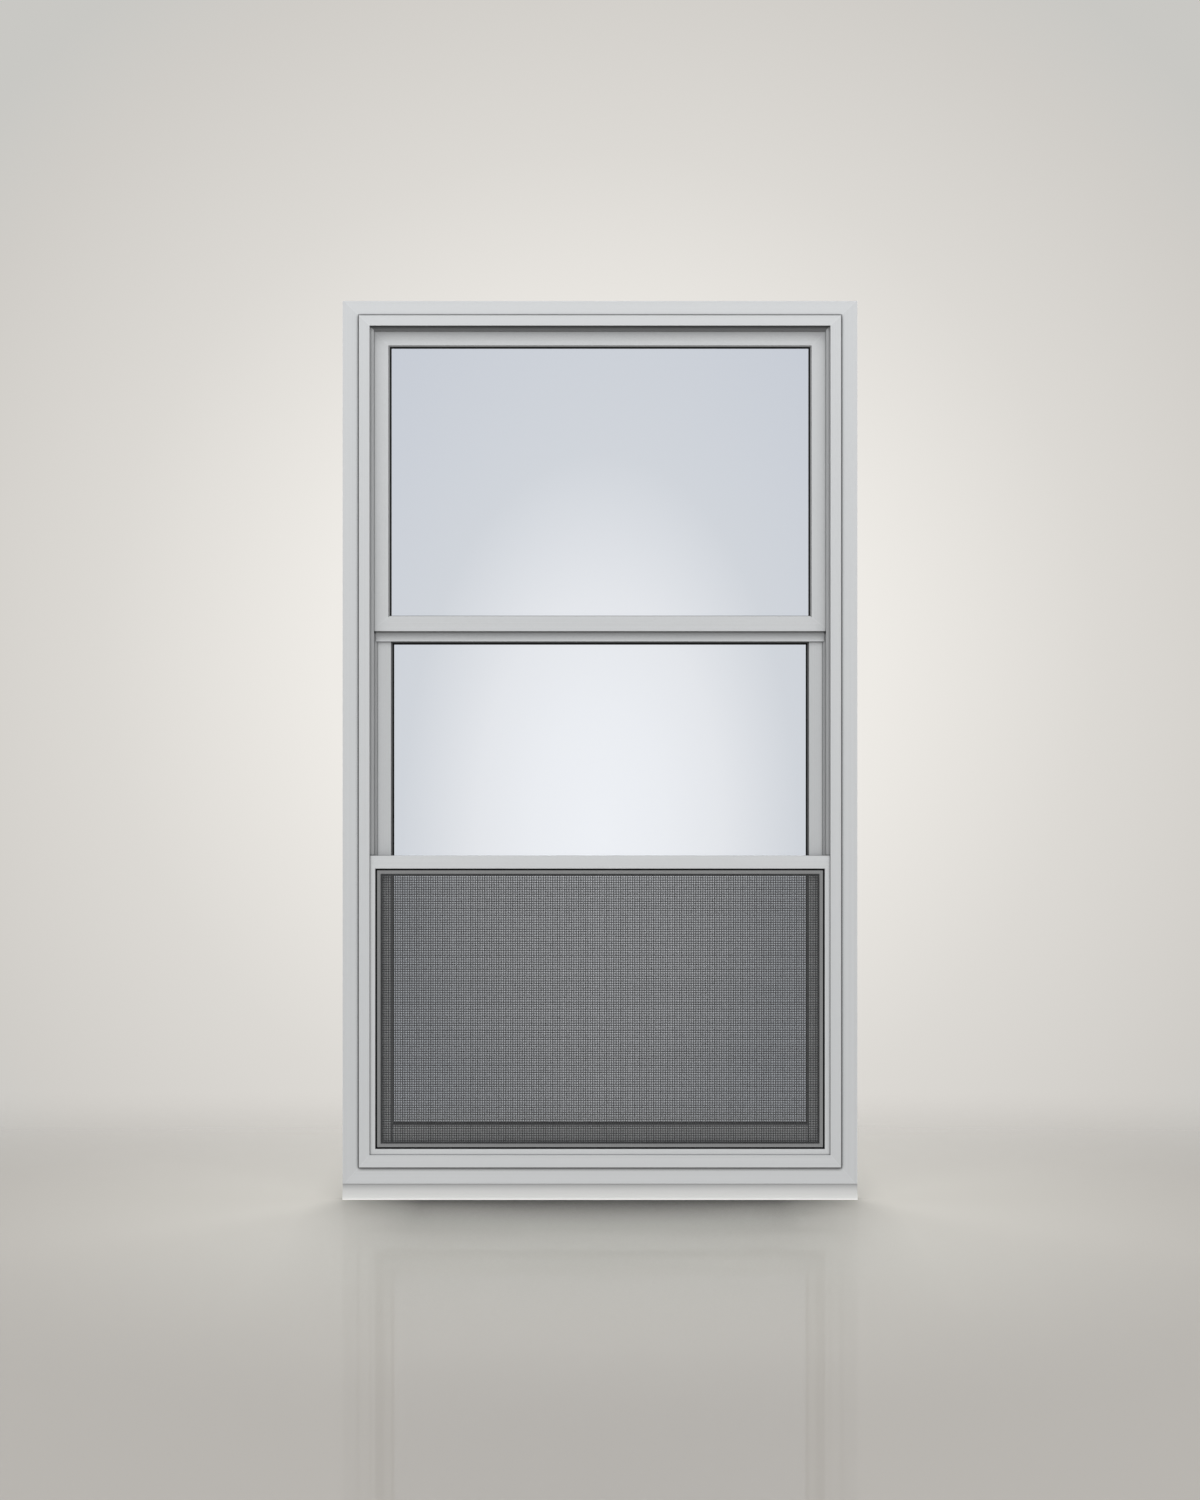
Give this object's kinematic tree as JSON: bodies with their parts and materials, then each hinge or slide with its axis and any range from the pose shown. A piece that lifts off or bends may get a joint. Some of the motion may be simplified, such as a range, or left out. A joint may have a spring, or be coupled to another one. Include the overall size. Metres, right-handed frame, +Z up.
{
  "type": "aluminium storm window",
  "caption": "Tall aluminium storm window: flanged frame, upper and lower glazed sashes, an insect screen over the lower sash and a flared white sill expander.",
  "frame": {"origin": "middle of the back face of the head flange, the face that is screwed to the outside casing", "axes": "+Z up along the window's height, +Y towards the room, -Y towards the outside, +X to the right seen from outside"},
  "size_m": [0.813, 0.0457, 1.4185],
  "materials": {
    "frame_aluminium": "clear anodised extrusion, satin, with faint lengthwise die lines",
    "sash_aluminium": "clear anodised extrusion, satin",
    "white_aluminium": "baked white enamel, semi-gloss",
    "window_glass": "clear float glass with a faint blue cast",
    "black_vinyl": "matt black flexible vinyl",
    "insect_mesh": "woven charcoal glass-fibre mesh",
    "bolt_plastic": "moulded black nylon",
    "grey_pile": "grey woven pile"
  },
  "bodies": {
    "root": {"frame_head": "frame_aluminium", "frame_jamb_left": "frame_aluminium", "frame_jamb_right": "frame_aluminium", "frame_sill": "frame_aluminium", "lower_glass": "window_glass", "lower_glazing_gasket": "black_vinyl", "lower_sash_bolt_left": "bolt_plastic", "lower_sash_bolt_right": "bolt_plastic", "lower_sash_bottom_rail": "sash_aluminium", "lower_sash_pile_left": "grey_pile", "lower_sash_pile_right": "grey_pile", "lower_sash_stile_left": "sash_aluminium", "lower_sash_stile_right": "sash_aluminium", "lower_sash_top_rail": "sash_aluminium", "screen_bottom_rail": "sash_aluminium", "screen_inner_bead": "black_vinyl", "screen_latch_left": "bolt_plastic", "screen_latch_right": "bolt_plastic", "screen_mesh": "insect_mesh", "screen_pile_left": "grey_pile", "screen_pile_right": "grey_pile", "screen_spline": "black_vinyl", "screen_stile_left": "sash_aluminium", "screen_stile_right": "sash_aluminium", "screen_top_rail": "sash_aluminium", "sill_expander": "white_aluminium", "upper_glass": "window_glass", "upper_glazing_gasket": "black_vinyl", "upper_sash_bottom_rail": "sash_aluminium", "upper_sash_latch_left": "bolt_plastic", "upper_sash_latch_right": "bolt_plastic", "upper_sash_pile_left": "grey_pile", "upper_sash_pile_right": "grey_pile", "upper_sash_stile_left": "sash_aluminium", "upper_sash_stile_right": "sash_aluminium", "upper_sash_top_rail": "sash_aluminium"}
  },
  "joints": []
}
